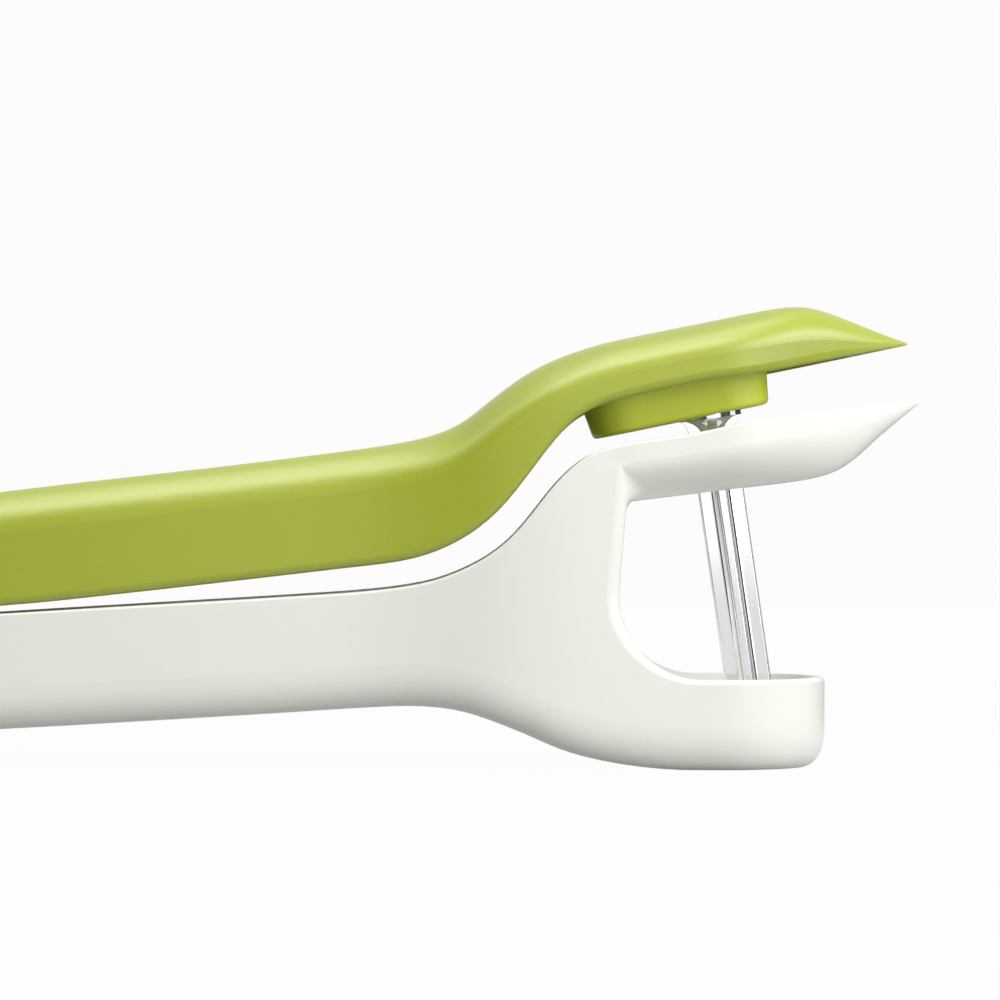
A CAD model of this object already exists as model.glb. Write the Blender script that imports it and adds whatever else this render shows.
import math
import bpy
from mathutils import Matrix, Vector


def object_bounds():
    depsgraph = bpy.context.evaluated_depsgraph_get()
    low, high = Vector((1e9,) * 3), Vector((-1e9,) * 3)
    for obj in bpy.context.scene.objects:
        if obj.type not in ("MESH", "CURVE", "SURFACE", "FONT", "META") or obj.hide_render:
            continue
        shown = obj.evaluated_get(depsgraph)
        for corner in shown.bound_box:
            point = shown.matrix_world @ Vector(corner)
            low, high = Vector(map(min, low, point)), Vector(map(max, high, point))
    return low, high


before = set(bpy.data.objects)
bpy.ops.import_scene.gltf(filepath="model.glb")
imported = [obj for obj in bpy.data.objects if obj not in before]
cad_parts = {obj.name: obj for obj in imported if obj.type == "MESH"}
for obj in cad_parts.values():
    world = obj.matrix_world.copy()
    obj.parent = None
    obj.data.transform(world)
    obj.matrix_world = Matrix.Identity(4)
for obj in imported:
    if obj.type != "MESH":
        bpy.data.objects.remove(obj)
CAD_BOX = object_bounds()

# The tool stands as packed: +X forward, +Z up, metres. Each node keeps its solid's shape,
# and this script gives it its finish, its light and its camera.

MM = 0.001
CENTRE = (CAD_BOX[0] + CAD_BOX[1]) / 2

# Camera, square on to the tool's side. The sensor and the lens are in millimetres.
CAMERA_DISTANCE = 600.0 * MM
PIXELS_PER_METRE = 7500.0
IMAGE_PIXELS = 1000.0
ORIGIN_PIXEL_X = 375.0
ORIGIN_PIXEL_Y = 765.3
SENSOR = 36.0
CLIP_START = 0.01
CLIP_END = 20.0

# Floor, which bends up into a backdrop
STAGE_HALF_WIDTH = 2.5
STAGE_NEAR = -2.0
STAGE_BEND = 1.2
STAGE_BEND_RADIUS = 0.8
STAGE_TOP = 2.5
STAGE_STEPS = 16
FLOOR_COLOUR = (0.33, 0.325, 0.315, 1.0)
FLOOR_LIGHT_SHARE = 0.97
FLOOR_MIRROR_SHARE = 0.75

# World, as it lights the tool and as the camera, glass and mirrors see it
WORLD_LIGHT = 0.18
WORLD_SEEN = 1.0
WORLD_MIRROR_SHARE = 1.0
WORLD_COLOUR = (1.0, 1.0, 1.0, 1.0)

# Dark cards that show only as reflections
FLAG_COLOUR = (0.07, 0.07, 0.075, 1.0)
FLAG_RADIUS = 0.3
FLAG_FOOT_RADIUS = 0.12
FLAG_LIFT = 0.5 * MM
FLAG_STEPS = 12
LEFT_FLAG_HEIGHT = 0.24
RIGHT_FLAG_HEIGHT = 0.1

# Lamp colours
PLAIN_LIGHT = (1.0, 1.0, 1.0)
WARM_LIGHT = (1.0, 0.985, 0.97)

# Plastic colours, as linear light
WHITE = (0.83, 0.824, 0.778)
WHITE_SHADE = (0.826, 0.82, 0.774)
LIME = (0.36, 0.415, 0.014)
LIME_SHADE = (0.345, 0.4, 0.013)
LEAF = (0.58, 0.66, 0.035)
LEAF_SHADE = (0.565, 0.645, 0.032)

# Metal colours, as linear light
PLATING = (0.86, 0.87, 0.88)
STEEL = (0.6, 0.6, 0.61)
WIRE = (0.42, 0.42, 0.43)

# Where most values of a noise lie
NOISE_SPAN = (0.3, 0.7)

# Moulded plastic: cells of noise per metre, and what the noise changes
TINT_CELLS = 1900.0
HAZE_CELLS = 1400.0
GRAIN_CELLS = 2600.0
GRAIN_DEPTH = 0.02 * MM
PLASTIC_ROUGHNESS_SPREAD = 0.04
PLASTIC_IOR = 1.5
GLOW_DEPTH = 2.0 * MM
GLOW_COLOUR = (1.0, 1.0, 0.4)
COAT_ROUGHNESS = 0.32

# Bright plating: lines along the rod and haze
LINE_CELLS = (2600.0, 2600.0, 40.0)
LINE_SPAN = (0.5, 0.8)
LINE_DEPTH = 0.01 * MM
LINE_BUMP = 0.1
LINE_ROUGHNESS = 0.04
PLATING_HAZE_CELLS = 220.0
PLATING_HAZE_ROUGHNESS = 0.05
PLATING_HAZE_TINT = 0.94
PLATING_TINT_SPAN = (0.35, 0.65)

# Plain steel: turning marks and a film of oil
TURNING_CELLS = (900.0, 7000.0, 900.0)
TURNING_SPAN = (0.4, 0.7)
TURNING_DEPTH = 0.02 * MM
TURNING_BUMP = 0.25
TURNING_ROUGHNESS = 0.08
FILM_CELLS = 160.0
FILM_ROUGHNESS_FALL = 0.05
FILM_ROUGHNESS_RISE = 0.08
FILM_TINT = 0.82
FILM_TINT_SPAN = (0.4, 0.7)


class Shader:
    """A material being built, with its nodes and its principled shader."""

    def __init__(self, name):
        self.material = bpy.data.materials.new(name)
        self.material.use_nodes = True
        self.tree = self.material.node_tree
        self.principled = self.tree.nodes["Principled BSDF"]
        self.place = self.add("ShaderNodeTexCoord").outputs["Object"]

    def add(self, kind, **settings):
        node = self.tree.nodes.new(kind)
        for name, value in settings.items():
            setattr(node, name, value)
        return node

    def link(self, source, target):
        self.tree.links.new(source, target)

    def set(self, **values):
        """Constants, straight on the principled shader's own sockets."""
        for name, value in values.items():
            self.principled.inputs[name.replace("_", " ")].default_value = value

    def stretched(self, scale):
        """Place on the object, stretched apart along each axis."""
        mapping = self.add("ShaderNodeMapping")
        mapping.inputs["Scale"].default_value = scale
        self.link(self.place, mapping.inputs["Vector"])
        return mapping.outputs["Vector"]

    def noise(self, scale, detail, roughness=0.5, place=None):
        node = self.add("ShaderNodeTexNoise")
        node.inputs["Scale"].default_value = scale
        node.inputs["Detail"].default_value = detail
        node.inputs["Roughness"].default_value = roughness
        self.link(place or self.place, node.inputs["Vector"])
        return node.outputs["Fac"]

    def ranged(self, value, span, new_low, new_high):
        """A value that lies in a span, brought to run from a new low to a new high."""
        node = self.add("ShaderNodeMapRange")
        node.inputs["From Min"].default_value = span[0]
        node.inputs["From Max"].default_value = span[1]
        node.inputs["To Min"].default_value = new_low
        node.inputs["To Max"].default_value = new_high
        self.link(value, node.inputs["Value"])
        return node.outputs["Result"]

    def sum(self, a, b):
        node = self.add("ShaderNodeMath", operation="ADD")
        self.link(a, node.inputs[0])
        self.link(b, node.inputs[1])
        return node.outputs["Value"]

    def mixed(self, factor, first, second):
        """Colour between two colours."""
        node = self.add("ShaderNodeMix", data_type="RGBA")
        colours = [s for s in node.inputs if s.type == "RGBA"]
        for socket, colour in zip(colours, (first, second)):
            socket.default_value = colour + (1.0,)
        self.link(factor, node.inputs[0])
        return [s for s in node.outputs if s.type == "RGBA"][0]

    def bumped(self, height, strength, depth):
        node = self.add("ShaderNodeBump")
        node.inputs["Strength"].default_value = strength
        node.inputs["Distance"].default_value = depth
        self.link(height, node.inputs["Height"])
        return node.outputs["Normal"]

    def finish(self, colour, roughness, normal):
        self.link(colour, self.principled.inputs["Base Color"])
        self.link(roughness, self.principled.inputs["Roughness"])
        self.link(normal, self.principled.inputs["Normal"])
        return self.material


def scaled(colour, share):
    return tuple(share * c for c in colour)


def moulded_plastic(name, colour, shade, roughness, grain, glow, gloss, coat=0.0):
    """Moulded plastic: a little light in its depth, a fine spark-eroded grain and, where
    the mould was smoother, a coat that reflects more."""
    s = Shader(name)
    dust = s.noise(TINT_CELLS, detail=3.0, roughness=0.7)
    tint = s.mixed(s.ranged(dust, NOISE_SPAN, 0.0, 1.0), shade, colour)
    rough = s.ranged(s.noise(HAZE_CELLS, detail=3.0, roughness=0.7), NOISE_SPAN,
                     roughness - PLASTIC_ROUGHNESS_SPREAD, roughness + PLASTIC_ROUGHNESS_SPREAD)
    normal = s.bumped(s.noise(GRAIN_CELLS, detail=2.0, roughness=0.6), grain, GRAIN_DEPTH)
    s.set(IOR=PLASTIC_IOR, Specular_IOR_Level=gloss, Subsurface_Weight=glow,
          Subsurface_Scale=GLOW_DEPTH, Subsurface_Radius=GLOW_COLOUR, Coat_Weight=coat,
          Coat_Roughness=COAT_ROUGHNESS)
    return s.finish(tint, rough, normal)


def plated_metal(name, colour, roughness):
    """Bright plating with faint drawing lines along the rod and a little haze."""
    s = Shader(name)
    lines = s.noise(1.0, detail=2.0, place=s.stretched(LINE_CELLS))
    haze = s.noise(PLATING_HAZE_CELLS, detail=3.0)
    rough = s.sum(s.ranged(haze, NOISE_SPAN, roughness, roughness + PLATING_HAZE_ROUGHNESS),
                  s.ranged(lines, LINE_SPAN, 0.0, LINE_ROUGHNESS))
    tint = s.mixed(s.ranged(haze, PLATING_TINT_SPAN, 0.0, 1.0), colour,
                   scaled(colour, PLATING_HAZE_TINT))
    s.set(Metallic=1.0)
    return s.finish(tint, rough, s.bumped(lines, LINE_BUMP, LINE_DEPTH))


def drawn_steel(name, colour, roughness):
    """Plain steel with turning and drawing marks and a thin film of oil."""
    s = Shader(name)
    turning = s.noise(1.0, detail=3.0, roughness=0.6, place=s.stretched(TURNING_CELLS))
    film = s.noise(FILM_CELLS, detail=3.0)
    rough = s.sum(s.ranged(film, NOISE_SPAN, roughness - FILM_ROUGHNESS_FALL,
                           roughness + FILM_ROUGHNESS_RISE),
                  s.ranged(turning, TURNING_SPAN, 0.0, TURNING_ROUGHNESS))
    tint = s.mixed(s.ranged(film, FILM_TINT_SPAN, 0.0, 1.0), colour, scaled(colour, FILM_TINT))
    s.set(Metallic=1.0)
    return s.finish(tint, rough, s.bumped(turning, TURNING_BUMP, TURNING_DEPTH))


def dress(node, material):
    """Give a node its finish on every slot."""
    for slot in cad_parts[node].material_slots:
        slot.material = material


def seen_directly(tree, mirror_share):
    """1 for rays from the camera or through glass, and a share for those by a mirror."""
    path = tree.nodes.new("ShaderNodeLightPath")
    total = path.outputs["Is Camera Ray"]
    for name, share in (("Is Glossy Ray", mirror_share), ("Is Transmission Ray", 1.0)):
        part = tree.nodes.new("ShaderNodeMath")
        part.operation = "MULTIPLY"
        part.inputs[1].default_value = share
        larger = tree.nodes.new("ShaderNodeMath")
        larger.operation = "MAXIMUM"
        tree.links.new(path.outputs[name], part.inputs[0])
        tree.links.new(total, larger.inputs[0])
        tree.links.new(part.outputs["Value"], larger.inputs[1])
        total = larger.outputs["Value"]
    return total


def stage_material():
    """Pale paper that looks white and keeps a faint shadow."""
    material = bpy.data.materials.new("pale_paper")
    material.use_nodes = True
    tree = material.node_tree
    tree.nodes.clear()
    paper = tree.nodes.new("ShaderNodeBsdfDiffuse")
    paper.inputs["Color"].default_value = FLOOR_COLOUR
    light = tree.nodes.new("ShaderNodeEmission")
    mix = tree.nodes.new("ShaderNodeMixShader")
    share = tree.nodes.new("ShaderNodeMath")
    share.operation = "MULTIPLY"
    share.inputs[1].default_value = FLOOR_LIGHT_SHARE
    out = tree.nodes.new("ShaderNodeOutputMaterial")
    tree.links.new(seen_directly(tree, FLOOR_MIRROR_SHARE), share.inputs[0])
    tree.links.new(share.outputs["Value"], mix.inputs["Fac"])
    tree.links.new(paper.outputs["BSDF"], mix.inputs[1])
    tree.links.new(light.outputs["Emission"], mix.inputs[2])
    tree.links.new(mix.outputs["Shader"], out.inputs["Surface"])
    return material


def make_stage():
    """Floor that sweeps up into a backdrop."""
    profile = [(STAGE_NEAR, 0.0), (STAGE_BEND, 0.0)]
    for i in range(1, STAGE_STEPS + 1):
        turn = math.pi / 2 * i / STAGE_STEPS
        profile.append((STAGE_BEND + STAGE_BEND_RADIUS * math.sin(turn),
                        STAGE_BEND_RADIUS - STAGE_BEND_RADIUS * math.cos(turn)))
    profile.append((STAGE_BEND + STAGE_BEND_RADIUS, STAGE_TOP))
    vertices = []
    for y, z in profile:
        vertices.append((-STAGE_HALF_WIDTH, y, z))
        vertices.append((STAGE_HALF_WIDTH, y, z))
    faces = [(2 * i, 2 * i + 1, 2 * i + 3, 2 * i + 2) for i in range(len(profile) - 1)]
    mesh = bpy.data.meshes.new("sweep")
    mesh.from_pydata(vertices, [], faces)
    mesh.shade_smooth()
    mesh.materials.append(stage_material())
    sweep = bpy.data.objects.new("sweep", mesh)
    bpy.context.scene.collection.objects.link(sweep)


def make_world():
    world = bpy.data.worlds.new("studio")
    bpy.context.scene.world = world
    world.use_nodes = True
    tree = world.node_tree
    background = tree.nodes["Background"]
    level = tree.nodes.new("ShaderNodeMapRange")
    level.inputs["To Min"].default_value = WORLD_LIGHT
    level.inputs["To Max"].default_value = WORLD_SEEN
    tree.links.new(seen_directly(tree, WORLD_MIRROR_SHARE), level.inputs["Value"])
    tree.links.new(level.outputs["Result"], background.inputs["Strength"])
    background.inputs["Color"].default_value = WORLD_COLOUR


def flag_material(name):
    material = bpy.data.materials.new(name)
    material.use_nodes = True
    tree = material.node_tree
    tree.nodes.clear()
    card = tree.nodes.new("ShaderNodeBsdfDiffuse")
    card.inputs["Color"].default_value = FLAG_COLOUR
    out = tree.nodes.new("ShaderNodeOutputMaterial")
    tree.links.new(card.outputs["BSDF"], out.inputs["Surface"])
    return material


def flag(name, first, last, height):
    """Dark curved card round the tool, with a foot towards it, that shows only as a
    reflection, so that bright metal has edges. It runs between two angles, in degrees to
    the right of the camera."""
    corners = []
    for i in range(FLAG_STEPS + 1):
        turn = math.radians(first + (last - first) * i / FLAG_STEPS)
        for radius, z in ((FLAG_FOOT_RADIUS, FLAG_LIFT), (FLAG_RADIUS, FLAG_LIFT),
                          (FLAG_RADIUS, height)):
            corners.append((CENTRE[0] + radius * math.sin(turn),
                            CENTRE[1] - radius * math.cos(turn), z))
    mesh = bpy.data.meshes.new(name)
    faces = [(3 * i + j, 3 * i + j + 3, 3 * i + j + 4, 3 * i + j + 1)
             for i in range(FLAG_STEPS) for j in range(2)]
    mesh.from_pydata(corners, [], faces)
    mesh.materials.append(flag_material(name))
    card = bpy.data.objects.new(name, mesh)
    bpy.context.scene.collection.objects.link(card)
    card.visible_camera = False
    card.visible_diffuse = False
    card.visible_shadow = False


def make_flags():
    """Cards on both sides, with a gap at each end of the tool, where the metal looks
    bright from the side."""
    flag("flag_left", first=-80.0, last=-10.0, height=LEFT_FLAG_HEIGHT)
    flag("flag_left_rear", first=-150.0, last=-104.0, height=LEFT_FLAG_HEIGHT)
    flag("flag_right", first=41.0, last=80.0, height=RIGHT_FLAG_HEIGHT)
    flag("flag_right_rear", first=104.0, last=165.0, height=RIGHT_FLAG_HEIGHT)


def softbox(name, place, aim, size, power, colour=PLAIN_LIGHT, mirrored=True):
    """Soft lamp, of a width and a height in metres. One that isn't mirrored lights the
    tool without a highlight."""
    lamp = bpy.data.lights.new(name, "AREA")
    lamp.shape = "RECTANGLE"
    lamp.size = size[0]
    lamp.size_y = size[1]
    lamp.energy = power
    lamp.color = colour
    box = bpy.data.objects.new(name, lamp)
    bpy.context.scene.collection.objects.link(box)
    box.location = place
    box.rotation_euler = (Vector(aim) - Vector(place)).to_track_quat("-Z", "Y").to_euler()
    box.visible_camera = False
    box.visible_glossy = mirrored


def make_lights():
    softbox("key", place=(-0.1, -0.355, 0.8), aim=(0.0, 0.0, 0.04), size=(0.55, 0.46),
            power=3.65, colour=WARM_LIGHT)
    softbox("front", place=(0.1, -1.15, 0.3), aim=(0.02, 0.0, 0.03), size=(0.9, 0.6),
            power=0.7)
    softbox("top", place=(-0.04, 0.08, 0.84), aim=(-0.02, 0.0, 0.05), size=(0.5, 0.3),
            power=1.2)
    softbox("right", place=(0.42, -0.29, 0.21), aim=(0.06, 0.0, 0.03), size=(0.5, 0.4),
            power=2.65)
    softbox("left", place=(-0.62, -0.3, 0.46), aim=(0.0, 0.0, 0.05), size=(0.45, 0.45),
            power=1.1)
    softbox("back", place=(0.1, 0.8, 0.35), aim=(0.0, 0.0, 0.03), size=(0.9, 0.5),
            power=5.0, mirrored=False)


def make_camera():
    data = bpy.data.cameras.new("camera")
    camera = bpy.data.objects.new("camera", data)
    bpy.context.scene.collection.objects.link(camera)
    camera.location = ((IMAGE_PIXELS / 2 - ORIGIN_PIXEL_X) / PIXELS_PER_METRE,
                       -CAMERA_DISTANCE,
                       (ORIGIN_PIXEL_Y - IMAGE_PIXELS / 2) / PIXELS_PER_METRE)
    camera.rotation_euler = (math.pi / 2, 0.0, 0.0)
    data.sensor_width = SENSOR
    data.lens = SENSOR * CAMERA_DISTANCE * PIXELS_PER_METRE / IMAGE_PIXELS
    data.clip_start = CLIP_START
    data.clip_end = CLIP_END
    bpy.context.scene.camera = camera


def dress_nodes():
    white = moulded_plastic("white_plastic", WHITE, WHITE_SHADE, roughness=0.32, grain=0.01,
                            glow=0.05, gloss=0.5)
    lime = moulded_plastic("lime_plastic", LIME, LIME_SHADE, roughness=0.4, grain=0.4,
                           glow=0.06, gloss=0.7, coat=0.6)
    leaf = moulded_plastic("leaf_plastic", LEAF, LEAF_SHADE, roughness=0.4, grain=0.15,
                           glow=0.05, gloss=0.7)
    plating = plated_metal("bright_plating", PLATING, roughness=0.06)
    steel = drawn_steel("plain_steel", STEEL, roughness=0.3)
    wire = drawn_steel("spring_wire", WIRE, roughness=0.28)
    dress("body_frame", white)
    dress("lever", lime)
    dress("plunger_carrier", leaf)
    dress("plunger", plating)
    dress("plunger_screw", steel)
    dress("carrier_screws", steel)
    dress("pivot_pin", steel)
    dress("torsion_spring", wire)


dress_nodes()
make_stage()
make_world()
make_flags()
make_lights()
make_camera()
bpy.context.scene.view_settings.view_transform = "Standard"
